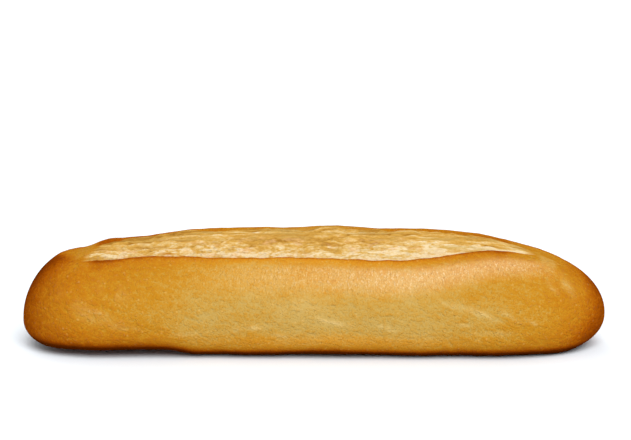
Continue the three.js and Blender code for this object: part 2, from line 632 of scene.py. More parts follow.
@dataclass(frozen=True)
class BakeMap:
    """How browned the crust is, from 0 for pale straw to 1 for dark brown, with painted shade at the base's
    edge and along the crown's crest, and where it is stretched.
    """

    ground: float = 0.155
    shoulder: float = 0.12
    shoulder_rise: Ramp = Ramp(20 * MM, 40 * MM)
    crown: float = -0.12
    crown_rise: Ramp = Ramp(46 * MM, 53 * MM)
    lip_middle: Band = Band(-8 * MM, 110 * MM)
    lip_onset: float = 2.5
    near_lip: float = 0.39
    near_lip_ends: float = 0.84
    near_reach: float = 4.6 * MM
    near_reach_ends: float = 5.5 * MM
    lip_edge: float = 0.38
    lip_edge_reach: float = 0.9 * MM
    lip_most: float = 0.82
    far_lip: float = 0.56
    far_lip_ends: float = 0.74
    far_reach: float = 20 * MM
    # The crest behind the score is browned more; this also paints the shade along the crown's top outline.
    ridge: float = 0.74
    ridge_angle: float = -0.38
    ridge_reach: float = 12 * MM
    ridge_end: float = 34 * MM
    wedge_pale: float = 0.27
    wedge_start: Ramp = Ramp(-126 * MM, -117 * MM)
    wedge_end: Ramp = Ramp(-101 * MM, -107 * MM)
    wedge_run: float = 14 * MM
    wedge_edge: tuple[float, float] = (-0.05, 0.42)
    wedge_near: Ramp = Ramp(-0.12, 0.2)
    wedge_far: Ramp = Ramp(-0.45, 0.1)
    left: float = 0.7
    left_reach: float = 112 * MM
    right: float = 0.54
    right_reach: float = 98 * MM
    rim: float = 0.66
    rim_reach: float = 17 * MM
    foot: float = 0.57
    foot_reach: float = 19 * MM
    underside: float = 0.75
    underside_rise: Ramp = Ramp(0, 0.5 * MM)
    # The base's edge is browned and also holds painted contact shade, near black where it meets the floor.
    edge: float = 0.97
    edge_shade_fall: Ramp = Ramp(7.2 * MM, 2.6 * MM)
    drift: float = 0.15
    drift_length: float = 26 * MM
    far_marks: float = 0.35
    marks: tuple[StretchMark, ...] = (
        StretchMark(10 * MM, 19 * MM, 26 * MM, -12, 1.1 * MM, 1.0),
        StretchMark(-31 * MM, 16.2 * MM, 30 * MM, 8, 1.2 * MM, 0.7),
        StretchMark(-15 * MM, 12.7 * MM, 15 * MM, -8, 0.8 * MM, 0.7),
        StretchMark(34 * MM, 16.7 * MM, 16 * MM, -18, 1.0 * MM, 0.8),
        StretchMark(-6 * MM, 27 * MM, 44 * MM, -4, 4.5 * MM, 0.4),
        StretchMark(76 * MM, 24 * MM, 32 * MM, -20, 1.1 * MM, 0.9),
        StretchMark(102 * MM, 19 * MM, 13 * MM, -36, 0.8 * MM, 0.7),
        StretchMark(85 * MM, 13.7 * MM, 26 * MM, -2, 0.9 * MM, 0.4),
        StretchMark(115 * MM, 40 * MM, 26 * MM, -54, 1.4 * MM, 0.5),
        StretchMark(120 * MM, 32 * MM, 18 * MM, -66, 1.6 * MM, 0.4),
        StretchMark(112 * MM, 33 * MM, 12 * MM, -40, 1.0 * MM, 0.4),
        StretchMark(-100 * MM, 23 * MM, 14 * MM, -10, 0.8 * MM, 0.4),
        StretchMark(109 * MM, 44 * MM, 16 * MM, -46, 1.2 * MM, 0.5),
        StretchMark(64 * MM, 27 * MM, 20 * MM, -24, 0.9 * MM, 0.6),
        StretchMark(92 * MM, 22 * MM, 18 * MM, -28, 0.9 * MM, 0.8),
        StretchMark(70 * MM, 18 * MM, 14 * MM, -14, 0.8 * MM, 0.5),
        StretchMark(-88 * MM, 16 * MM, 20 * MM, -4, 0.9 * MM, 0.4),
        StretchMark(-111 * MM, 26 * MM, 30 * MM, -20, 3 * MM, 0.2),
        StretchMark(-100 * MM, 20 * MM, 34 * MM, -8, 2.5 * MM, 0.24),
        StretchMark(-92 * MM, 31 * MM, 28 * MM, -14, 3 * MM, 0.18),
        StretchMark(-60 * MM, 13 * MM, 24 * MM, 3, 0.9 * MM, 0.4),
    )
    scorches: tuple[Scorch, ...] = (
        Scorch(-135 * MM, 1 * MM, 37 * MM, 31 * MM, 0.94),
        Scorch(-121 * MM, -5 * MM, 46 * MM, 19 * MM, 0.68),
        Scorch(-84 * MM, -32 * MM, 4 * MM, 26 * MM, 0.2),
        Scorch(134 * MM, 3 * MM, 29 * MM, 29 * MM, 0.79),
        Scorch(127 * MM, -16 * MM, 7 * MM, 24 * MM, 0.8),
    )

    def browning(self, form: LoafForm, spot: Spot) -> float:
        """Works out how browned the crust is, with painted shade at the base's edge and along the crown's
        crest.

        Args:
            form: the loaf.
            spot: the place on it.

        Returns:
            The browning, from about 0 to 1.
        """
        place = spot.place
        from_left = form.length / 2 + place.x
        from_right = form.length / 2 - place.x
        from_tip = min(from_left, from_right)
        under = lerp(self.underside, 1.0, self.underside_rise(spot.height))
        shares = (
            self.ground,
            self.shoulder * self.shoulder_rise(place.z),
            self.crown * self.crown_rise(place.z),
            self.lip(spot) * min(1.0, self.lip_onset * spot.section.opening),
            self.crest(spot) * smoothstep(from_tip, 0, self.ridge_end),
            self.left * hump(from_left, self.left_reach),
            self.right * hump(from_right, self.right_reach),
            self.rim * hump(from_tip, self.rim_reach),
            self.foot * hump(spot.height, self.foot_reach),
            # Browning and painted contact shade at the base's edge.
            self.edge * self.edge_shade_fall(spot.height) * under,
            *(scorch.share(place) for scorch in self.scorches),
        )
        pale = math.prod(1 - share for share in shares)
        brown = 1 - pale + self.drift * pale * noise.noise(place / self.drift_length)
        return brown * (1 - self.wedge_pale * self.wedge(spot))

    def lip(self, spot: Spot) -> float:
        """Works out how a lip browns the crust beside it, which it does most towards the tips.

        Args:
            spot: the place on the loaf.

        Returns:
            The lip's share of the browning.
        """
        gap = spot.lip_gap
        middle = self.lip_middle(spot.section.x)
        if not spot.near_side:
            return lerp(self.far_lip_ends, self.far_lip, middle) * math.exp(-gap / self.far_reach)
        edge = self.lip_edge * math.exp(-gap / self.lip_edge_reach)
        strength = lerp(self.near_lip_ends, self.near_lip, middle)
        reach = lerp(self.near_reach_ends, self.near_reach, middle)
        return min(self.lip_most, strength * math.exp(-gap / reach) + edge)

    def crest(self, spot: Spot) -> float:
        """Works out how the crown's crest behind the score is browned, which also paints shade along the
        crown's top outline as seen from in front.
        """
        reach = math.hypot(spot.place.y - spot.section.sway, spot.place.z - spot.section.nose)
        return self.ridge * hump((spot.angle - self.ridge_angle) * reach, self.ridge_reach)

    def wedge(self, spot: Spot) -> float:
        """Says how far a place lies in the paler wedge where the score starts on the crown.

        Args:
            spot: the place on the loaf.

        Returns:
            The share, from 0 to 1.
        """
        x = spot.section.x
        edge = lerp(*self.wedge_edge, clamp((x - self.wedge_start.zero) / self.wedge_run))
        inside = self.wedge_near(edge - spot.angle) * self.wedge_far(spot.angle)
        return inside * self.wedge_start(x) * self.wedge_end(x)

    def stretched(self, spot: Spot) -> float:
        """Says how far the stretch marks show: on the far side turned end for end, and fainter."""
        side, most = (1, 1.0) if spot.near_side else (-1, self.far_marks)
        return most * clamp(sum(mark.share(side * spot.place.x, spot.place.z) for mark in self.marks))


@dataclass(frozen=True)
class CrumbMap:
    """Where the torn crumb shows, how toasted and pitted it is, and how far it is drawn into strands."""

    front_edge: tuple[float, float] = (0.4, 1.2)
    back_edge: tuple[float, float] = (0.04, 0.1)
    back_middle: Band = Band(5 * MM, 100 * MM)
    back_left: Patch = Patch(0.4, Ramp(-88 * MM, -112 * MM))
    start_slant: tuple[float, float] = (-1 * MM, 5 * MM)
    start_across: Ramp = Ramp(0.3, 1)
    start_fade: float = 12 * MM
    end_before: float = 12 * MM
    end_past: float = 2 * MM
    flap: Patch = Patch(0.8, Band(-69 * MM, 9 * MM), Band(0.12, 0.05))
    overrun: Patch = Patch(0.5, Band(5 * MM, 80 * MM), Ramp(8 * MM, 0))
    tone: float = 0.22
    tones: tuple[Patch, ...] = (
        Patch(0.37, across=Ramp(0.12, 0.6)),
        Patch(0.22, across=Ramp(0.65, 0.95)),
        Patch(0.06, Band(-92 * MM, 45 * MM)),
        Patch(0.19, Band(-92 * MM, 45 * MM), Ramp(0.4, 0.7)),
        Patch(0.15, Band(-15 * MM, 70 * MM), Band(0.36, 0.32)),
        Patch(-0.22, Band(54 * MM, 22 * MM), Ramp(0.8, 0.4)),
        Patch(0.06, Band(70 * MM, 18 * MM), Ramp(0.2, 0.5)),
        Patch(-0.03, Ramp(72 * MM, 92 * MM)),
    )
    # Darker in the tears between the shreds: painted shade.
    tear_shade_tone: float = 0.32
    tear_level: float = 0.52
    pits: tuple[Patch, ...] = (
        Patch(1, Band(-93 * MM, 28 * MM)),
        Patch(1, Band(-45 * MM, 20 * MM)),
        Patch(0.4, Band(30 * MM, 40 * MM)),
    )
    pits_fall: Ramp = Ramp(0.55, 0.25)
    drawn_back: Ramp = Ramp(0.3, 0.7)
    drawn_right: Ramp = Ramp(45 * MM, 75 * MM)
    drawn_most: float = 0.85

    def shown(self, form: LoafForm, spot: Spot) -> float:
        """Says how far the torn crumb shows, in the score or where its streaks run on over the far lip.

        Args:
            form: the loaf.
            spot: the place on it.

        Returns:
            The share, from 0 to 1.
        """
        x, across = spot.section.x, spot.across
        run_on = 0.0 if spot.near_side else self.overrun.share(x, spot.lip_gap)
        if not spot.torn:
            return run_on
        first, last = self.front_edge
        back = lerp(*self.back_edge, self.back_middle(x)) + self.back_left.share(x)
        share = smoothstep(across, first * form.lip_wall, last * form.lip_wall)
        share *= smoothstep(1 - across, 0, back)
        start = form.score_left + lerp(*self.start_slant, self.start_across(across))
        share *= smoothstep(x, start, start + self.start_fade)
        share *= 1 - self.flap.share(x, across)
        share *= 1 - smoothstep(x, form.score_right - self.end_before, form.score_right + self.end_past)
        return max(run_on, share)

    def toast(self, spot: Spot) -> float:
        """Works out how toasted the crumb is: pale by the near lip, golden at the back, and darker in the
        tears between the shreds, which paints shade into them.
        """
        tone = self.tone + sum(patch.share(spot.section.x, spot.across) for patch in self.tones)
        return tone + self.tear_shade_tone * (self.tear_level - spot.shred)

    def pitted(self, x: float, across: float) -> float:
        """Says how pitted the crumb is at a place in the score."""
        return sum(patch.share(x) for patch in self.pits) * self.pits_fall(across)

    def drawn(self, spot: Spot) -> float:
        """Says how far the tear drew the crumb into strands, as at the back and the right."""
        return lerp(self.drawn_back(spot.across), self.drawn_most, self.drawn_right(spot.section.x))


@dataclass(frozen=True)
class SkinMap:
    """Where the crust's skin is wrinkled and shines, below a bare strip by the lip, and where orange light is
    painted on it.
    """

    bare: tuple[float, float] = (2 * MM, 3 * MM)
    bare_rise: Ramp = Ramp(30 * MM, 80 * MM)
    onset: float = 3
    wrinkles_down: Ramp = Ramp(22 * MM, 10 * MM)
    wrinkles_left: Ramp = Ramp(-80 * MM, -20 * MM)
    wrinkles_right: Ramp = Ramp(124 * MM, 102 * MM)
    sheen_down: Ramp = Ramp(19 * MM, 9 * MM)
    sheen_left: Ramp = Ramp(-55 * MM, 80 * MM)
    sheen_right: Ramp = Ramp(120 * MM, 92 * MM)
    far_wrinkles: float = 0.4
    # Shares of the orange painted light: painted sheen on the wrinkles, painted light by the near lip,
    # painted floor bounce by the base.
    wrinkle_painted_light: float = 0.17
    lip_painted_light: Patch = Patch(0.16, Band(0, 120 * MM), Band(1.5 * MM, 6 * MM))
    base_painted_bounce: Patch = Patch(0.18, Band(10 * MM, 110 * MM), Band(9 * MM, 6 * MM))

    def below_strip(self, spot: Spot) -> float:
        """Says how far a place has left the bare strip along the lip."""
        strip = lerp(*self.bare, self.bare_rise(spot.section.x))
        return smoothstep(spot.lip_gap, strip, self.onset * strip)

    def wrinkles(self, spot: Spot) -> float:
        """Says how wrinkled the skin is, which it is less on the far side.

        Args:
            spot: the place on the loaf.

        Returns:
            The share, from 0 to 1.
        """
        if spot.torn:
            return 0.0
        x = spot.section.x
        share = self.below_strip(spot) * self.wrinkles_down(spot.lip_gap)
        share *= self.wrinkles_left(x) * self.wrinkles_right(x)
        return share if spot.near_side else self.far_wrinkles * share

    def sheen(self, spot: Spot) -> float:
        """Says how the near side's skin shines: it sets the coat's real sheen and the painted highlight in
        the crust's colour.

        Args:
            spot: the place on the loaf.

        Returns:
            The share, from 0 to 1.
        """
        if spot.torn or not spot.near_side:
            return 0.0
        x = spot.section.x
        share = self.below_strip(spot) * self.sheen_down(spot.lip_gap)
        return share * self.sheen_left(x) * self.sheen_right(x)

    def glow(self, spot: Spot) -> float:
        """Says how much orange painted light lies on the skin: painted sheen where it is wrinkled, painted
        light by the near lip and painted floor bounce by the base.

        Args:
            spot: the place on the loaf.

        Returns:
            The painted light's share of the colour.
        """
        if spot.torn:
            return 0.0
        x = spot.section.x
        by_lip = self.lip_painted_light.share(x, spot.lip_gap) if spot.near_side else 0.0
        by_base = self.base_painted_bounce.share(x, spot.height)
        return max(self.wrinkle_painted_light * self.wrinkles(spot), by_lip, by_base)


class Blend(Enum):
    """What a Mix node mixes: its type of data, the places of its inputs, and that of its output."""

    VALUES = ("FLOAT", (0, 2, 3), 0)
    COLOURS = ("RGBA", (0, 6, 7), 2)


class Bench:
    """A node tree, with short ways to add and join its nodes."""

    def __init__(self, tree: NodeTree) -> None:
        """Takes the tree that the nodes go into."""
        self.tree = tree

    def add(self, kind: str, **sockets: object) -> Node:
        """Adds a node and sets or joins its inputs.

        Args:
            kind: the node's type.
            sockets: its inputs by name, with _ for a space: a value, or an output to join.

        Returns:
            The new node.
        """
        return self.fill(self.tree.nodes.new(kind), sockets)

    def group(self, tree: NodeTree, **sockets: object) -> NodeSocket:
        """Places a node group and sets or joins its inputs.

        Args:
            tree: the group.
            sockets: its inputs by name, as for add.

        Returns:
            The group's output.
        """
        node = self.tree.nodes.new("ShaderNodeGroup")
        node.node_tree = tree
        return self.fill(node, sockets).outputs[0]

    def fill(self, node: Node, sockets: dict[str, object]) -> Node:
        """Sets or joins a node's inputs.

        Args:
            node: the node.
            sockets: its inputs by name, as for add.

        Returns:
            The same node.
        """
        for name, value in sockets.items():
            self.feed(node.inputs[name.replace("_", " ")], value)
        return node

    def feed(self, socket: NodeSocket, value: object) -> None:
        """Sets an input, or joins an output to it.

        Args:
            socket: the input.
            value: a value, or the output to join.
        """
        if isinstance(value, NodeSocket):
            self.tree.links.new(value, socket)
        else:
            socket.default_value = value

    def calc(self, operation: str, *values: object, limit: bool = False) -> NodeSocket:
        """Adds a Math node.

        Args:
            operation: what the node does.
            values: its inputs in order, each a value or an output to join.
            limit: whether the result is kept from 0 to 1.

        Returns:
            The node's result.
        """
        node = self.tree.nodes.new("ShaderNodeMath")
        node.operation = operation
        node.use_clamp = limit
        for socket, value in zip(node.inputs, values):
            self.feed(socket, value)
        return node.outputs[0]

    def total(self, *terms: tuple[NodeSocket, float]) -> NodeSocket:
        """Adds up outputs, each times its weight.

        Args:
            terms: the outputs with their weights.

        Returns:
            The sum.
        """
        (first, weight), *others = terms
        result = self.calc("MULTIPLY", first, weight)
        for value, share in others:
            result = self.calc("MULTIPLY_ADD", value, share, result)
        return result

    def span(self, value: NodeSocket, ramp: Ramp) -> NodeSocket:
        """Rises smoothly from 0 to 1 as a value goes up a ramp.

        Args:
            value: the value.
            ramp: where the rise starts and ends.

        Returns:
            How far up the ramp the value is.
        """
        node = self.add("ShaderNodeMapRange", Value=value, From_Min=ramp.zero, From_Max=ramp.one)
        node.interpolation_type = "SMOOTHSTEP"
        return node.outputs["Result"]

    def mix(self, share: object, first: object, second: object) -> NodeSocket:
        """Mixes two colours."""
        return self.merge(Blend.COLOURS, share, first, second)

    def blend(self, share: object, first: object, second: object) -> NodeSocket:
        """Mixes two values."""
        return self.merge(Blend.VALUES, share, first, second)

    def merge(self, kind: Blend, *given: object) -> NodeSocket:
        """Adds a Mix node.

        Args:
            kind: what it mixes.
            given: the second one's share, the first one and the second one.

        Returns:
            The mixture.
        """
        data_type, inputs, output = kind.value
        node = self.tree.nodes.new("ShaderNodeMix")
        node.data_type = data_type
        for index, value in zip(inputs, given):
            self.feed(node.inputs[index], value)
        return node.outputs[output]

    def ramp(self, share: NodeSocket, stops: Stops) -> NodeSocket:
        """Turns a value into a colour by a row of stops.

        Args:
            share: the value, from 0 to 1.
            stops: each stop's place and colour.

        Returns:
            The colour.
        """
        node = self.add("ShaderNodeValToRGB", Fac=share)
        elements = node.color_ramp.elements
        while len(elements) < len(stops):
            elements.new(1.0)
        for element, (place, hexa) in zip(elements, stops):
            element.position = place
            element.color = paint(hexa)
        return node.outputs["Color"]

    def mark(self, mark: Mark) -> NodeSocket:
        """Reads one of the marks that the vertices keep.

        Args:
            mark: which one.

        Returns:
            The mark's value over the surface.
        """
        node = self.tree.nodes.new("ShaderNodeAttribute")
        node.attribute_name = mark.value
        return node.outputs["Fac"]

    def bump(self, height: NodeSocket, distance: float) -> NodeSocket:
        """Turns a height into a normal.

        Args:
            height: the height over the surface, in units of the distance.
            distance: that unit, in metres.

        Returns:
            The normal.
        """
        node = self.add("ShaderNodeBump", Height=height)
        node.inputs["Distance"].default_value = distance
        return node.outputs["Normal"]


class Effects:
    """The node groups that the finishes share."""

    noise_roughness: float = 0.55
    noise_middle: float = 0.5
    spot_rise: Ramp = Ramp(0.0, 0.7)
    dome_level: float = 0.25

    def __init__(self) -> None:
        """Builds each group once."""
        self.mottle = self.build_mottle()
        self.flecks = self.build_flecks()
        self.pebbles = self.build_pebbles()

    @staticmethod
    def new_group(name: str, inputs: dict[str, str], output: str) -> tuple[NodeTree, Node, Node]:
        """Starts a node group.

        Args:
            name: the group's name.
            inputs: its inputs' names and socket types.
            output: its output's name.

        Returns:
            The group, its input node and its output node.
        """
        tree = bpy.data.node_groups.new(name, "ShaderNodeTree")
        for label, kind in inputs.items():
            tree.interface.new_socket(name=label, in_out="INPUT", socket_type=kind)
        tree.interface.new_socket(name=output, in_out="OUTPUT", socket_type="NodeSocketFloat")
        return tree, tree.nodes.new("NodeGroupInput"), tree.nodes.new("NodeGroupOutput")

    def build_mottle(self) -> NodeTree:
        """Builds uneven patches from about -1 to 1, of a size set by a scale for each axis.

        Returns:
            The group.
        """
        inputs = {"Scale": "NodeSocketVector", "Turn": "NodeSocketVector", "Detail": "NodeSocketFloat"}
        tree, given, result = self.new_group("mottle", inputs, "Value")
        bench = Bench(tree)
        where = bench.add("ShaderNodeTexCoord")
        turned = bench.add("ShaderNodeMapping", Vector=where.outputs["Object"])
        bench.feed(turned.inputs["Rotation"], given.outputs["Turn"])
        drawn = bench.add("ShaderNodeMapping", Vector=turned.outputs[0])
        bench.feed(drawn.inputs["Scale"], given.outputs["Scale"])
        patches = bench.add("ShaderNodeTexNoise", Vector=drawn.outputs[0], Scale=1.0)
        patches.inputs["Roughness"].default_value = self.noise_roughness
        bench.feed(patches.inputs["Detail"], given.outputs["Detail"])
        centred = bench.calc("SUBTRACT", patches.outputs[0], self.noise_middle)
        bench.feed(result.inputs[0], bench.calc("DIVIDE", centred, self.noise_middle))
        return tree

    def build_flecks(self) -> NodeTree:
        """Builds scattered round spots: a share of a scale's cells has one, of a size within the cell.

        Returns:
            The group.
        """
        inputs = {"Scale": "NodeSocketFloat", "Share": "NodeSocketFloat", "Size": "NodeSocketFloat"}
        tree, given, result = self.new_group("flecks", inputs, "Mask")
        bench = Bench(tree)
        where = bench.add("ShaderNodeTexCoord")
        cells = bench.add("ShaderNodeTexVoronoi", Vector=where.outputs["Object"])
        bench.feed(cells.inputs["Scale"], given.outputs["Scale"])
        inside = bench.calc("DIVIDE", cells.outputs["Distance"], given.outputs["Size"])
        spot = bench.calc("SUBTRACT", 1.0, inside, limit=True)
        chance = bench.add("ShaderNodeSeparateColor", Color=cells.outputs["Color"])
        chosen = bench.calc("LESS_THAN", chance.outputs["Red"], given.outputs["Share"])
        uneven = bench.calc("MULTIPLY", chosen, chance.outputs["Green"])
        bench.feed(result.inputs[0], bench.calc("MULTIPLY", bench.span(spot, self.spot_rise), uneven))
        return tree

    def build_pebbles(self) -> NodeTree:
        """Builds a close field of low domes about 0, of a size set by a scale for each axis.

        Returns:
            The group.
        """
        tree, given, result = self.new_group("pebbles", {"Scale": "NodeSocketVector"}, "Value")
        bench = Bench(tree)
        where = bench.add("ShaderNodeTexCoord")
        mapping = bench.add("ShaderNodeMapping", Vector=where.outputs["Object"])
        bench.feed(mapping.inputs["Scale"], given.outputs["Scale"])
        cells = bench.add("ShaderNodeTexVoronoi", Vector=mapping.outputs[0], Scale=1.0)
        square = bench.calc("POWER", cells.outputs["Distance"], 2.0)
        bench.feed(result.inputs[0], bench.calc("SUBTRACT", self.dome_level, square))
        return tree


@dataclass(frozen=True)
class Layer:
    """One scale of unevenness: its cells per metre on each axis, detail, tint, swell and tilt."""

    scale: Axes
    detail: float
    tint: float = 0.0
    swell: float = 0.0
    tilt: float = 0.0

    def place(self, bench: Bench, effects: Effects) -> NodeSocket:
        """Places the shared patches at this scale."""
        return bench.group(effects.mottle, Scale=self.scale, Turn=(0.0, self.tilt, 0.0), Detail=self.detail)


@dataclass(frozen=True)
class Flecks:
    """One scatter of spots: its cells per metre, the share of them with a spot, and its size in the cell."""

    scale: float
    share: float
    size: float

    def place(self, bench: Bench, effects: Effects) -> NodeSocket:
        """Places the shared spots at this scale."""
        return bench.group(effects.flecks, Scale=self.scale, Share=self.share, Size=self.size)


@dataclass(frozen=True)
class Look:
    """What one finish gives over the surface: colour, roughness, height in millimetres, and an accent.

    The crust's accent is where it glints, and the crumb's is how it is streaked.
    """

    colour: NodeSocket
    roughness: NodeSocket
    height: NodeSocket
    accent: NodeSocket


@dataclass(frozen=True)
class CrustFinish:
    """The baked skin: browned by the bake map, mottled, specked with blisters, wrinkled under the lip, with
    painted light: a pale painted highlight and sheen where it shines, and an orange painted glow.
    """

    stops: Stops = (
        (0.0, "b69550"),
        (0.25, "b68c3d"),
        (0.5, "b47c1d"),
        (0.72, "ad6a11"),
        (0.87, "9b4f05"),
        # The darkest stops are reached mostly at the base's edge, where painted contact shade adds to the
        # browning.
        (0.95, "7e3702"),
        (1.0, "4a1a00"),
    )
    blister: str = "dfb468"
    stretched: str = "dcbc7c"
    # Colour of the orange painted light.
    glow: str = "ffa634"
    # Colour of the painted highlight where the skin shines and glints.
    painted_glint: str = "f4d6a8"
    patches: Layer = Layer((100.0, 100.0, 100.0), 3.0, tint=0.2, swell=0.3)
    grain: Layer = Layer((420.0, 420.0, 420.0), 2.0, tint=0.28, swell=0.44)
    pores: Layer = Layer((1100.0, 1100.0, 1100.0), 1.0, tint=0.36, swell=0.26)
    streaks: Layer = Layer((60.0, 380.0, 380.0), 2.0, tint=0.14, swell=0.1)
    flakes: Layer = Layer((170.0, 500.0, 700.0), 2.0, tint=0.24, swell=0.24, tilt=math.radians(-20))
    creases: Layer = Layer((1250.0, 420.0, 420.0), 1.0, tint=0.8)
    pebble_scale: Axes = (1400.0, 1000.0, 1000.0)
    dark_room: float = 1.2
    calm_power: float = 3.2
    # Paler on the creases' crests and over the wrinkled skin as painted highlight and painted sheen; the
    # stretch marks' paler colour is their own.
    painted_crest_highlight: float = -0.3
    painted_wrinkle_sheen: float = -0.08
    mark_tint: float = -0.4
    mark_breaks: Ramp = Ramp(-0.15, 0.35)
    mark_least: float = 0.35
    mark_cover: float = 0.7
    glint_rise: Ramp = Ramp(0.0, 0.5)
    # Shares of the painted highlight on the glints and of the painted sheen.
    painted_glint_shiny: float = 0.24
    painted_glint_plain: float = 0.1
    painted_sheen_cover: float = 0.18
    blisters: Flecks = Flecks(560.0, 0.22, 0.45)
    blister_cover: float = 0.32
    dust_grain: float = 0.5
    dust_pores: float = 0.9
    dust_rise: Ramp = Ramp(0.1, 0.8)
    dust_cover: float = 0.34
    crease_swell: float = 0.3
    mark_swell: float = 0.25
    speck_swell: float = 0.3
    roughness: float = 0.6
    roughness_swing: float = 0.08
    gloss_least: float = 0.5
    gloss_glint: float = 0.6

    def look(self, bench: Bench, effects: Effects) -> Look:
        """Builds the crust's colour, roughness and height.

        Args:
            bench: the material's nodes.
            effects: the shared groups.

        Returns:
            The finish over the surface.
        """
        layers = (self.patches, self.grain, self.pores, self.streaks, self.flakes)
        placed = {layer: layer.place(bench, effects) for layer in layers}
        grain, pores, flakes = placed[self.grain], placed[self.pores], placed[self.flakes]
        baked = bench.mark(Mark.BROWNING)
        wrinkled = bench.mark(Mark.WRINKLES)
        calm = bench.calc("SUBTRACT", 1.0, bench.calc("POWER", baked, self.calm_power), limit=True)
        uneven = bench.total(*((value, layer.tint) for layer, value in placed.items()))
        brown = self.browned(bench, baked, uneven, calm)
        pebbles = bench.group(effects.pebbles, Scale=self.pebble_scale)
        folds = bench.calc("MULTIPLY_ADD", self.creases.place(bench, effects), self.creases.tint, pebbles)
        folds = bench.calc("MULTIPLY", folds, wrinkled)
        broken = bench.span(flakes, self.mark_breaks)
        broken = bench.calc("MULTIPLY_ADD", broken, 1 - self.mark_least, self.mark_least)
        marks = bench.calc("MULTIPLY", broken, bench.mark(Mark.STRETCHED))
        # Painted highlight on the creases' crests and painted sheen on the wrinkled skin, beside the stretch
        # marks' own paler colour.
        paler = ((folds, self.painted_crest_highlight), (wrinkled, self.painted_wrinkle_sheen), (marks, self.mark_tint))
        brown = bench.calc("ADD", brown, bench.total(*paler))
        dust = bench.total((grain, self.dust_grain), (pores, self.dust_pores))
        dust = bench.span(dust, self.dust_rise)
        specks = self.blisters.place(bench, effects)
        specks = bench.total((specks, self.blister_cover), (dust, self.dust_cover))
        specks = bench.calc("MULTIPLY", specks, calm)
        glints = bench.span(folds, self.glint_rise)
        # Painted light: an orange glow mixed in where the skin is wrinkled, by the near lip and by the base.
        colour = bench.mix(bench.mark(Mark.GLOW), bench.ramp(brown, self.stops), paint(self.glow))
        # Painted highlight: a pale glint colour mixed in where the skin shines, most on its glints.
        colour = bench.mix(self.painted_highlight(bench, glints), colour, paint(self.painted_glint))
        colour = bench.mix(bench.calc("MULTIPLY", marks, self.mark_cover), colour, paint(self.stretched))
        colour = bench.mix(specks, colour, paint(self.blister))
        swells = bench.total(*((value, layer.swell) for layer, value in placed.items()))
        raised = ((folds, self.crease_swell), (marks, self.mark_swell), (specks, self.speck_swell))
        height = bench.calc("ADD", swells, bench.total(*raised))
        roughness = bench.calc("MULTIPLY_ADD", grain, self.roughness_swing, self.roughness)
        gloss = bench.calc("MULTIPLY_ADD", glints, self.gloss_glint, self.gloss_least)
        return Look(colour, roughness, height, gloss)

    def browned(self, bench: Bench, baked: NodeSocket, uneven: NodeSocket, calm: NodeSocket) -> NodeSocket:
        """Adds the unevenness to the browning, with less room to darken or pale where it is dark.

        Args:
            bench: the material's nodes.
            baked: the browning that the vertices keep.
            uneven: the unevenness about 0.
            calm: how far a place may be paler.

        Returns:
            The uneven browning.
        """
        room = bench.calc("MULTIPLY_ADD", baked, -self.dark_room, self.dark_room, limit=True)
        darker = bench.calc("MULTIPLY", bench.calc("MAXIMUM", uneven, 0.0), room)
        paler = bench.calc("MULTIPLY", bench.calc("MINIMUM", uneven, 0.0), calm)
        return bench.calc("ADD", baked, bench.calc("ADD", darker, paler))

    def painted_highlight(self, bench: Bench, glints: NodeSocket) -> NodeSocket:
        """Works out the share of painted highlight colour where the skin shines, most where it glints.

        Args:
            bench: the material's nodes.
            glints: where the skin glints.

        Returns:
            The share of the painted highlight's colour.
        """
        glossy = bench.mark(Mark.SHEEN)
        strength = bench.calc("MULTIPLY_ADD", glossy, self.painted_glint_shiny, self.painted_glint_plain)
        return bench.calc("MULTIPLY_ADD", glossy, self.painted_sheen_cover, bench.calc("MULTIPLY", glints, strength))


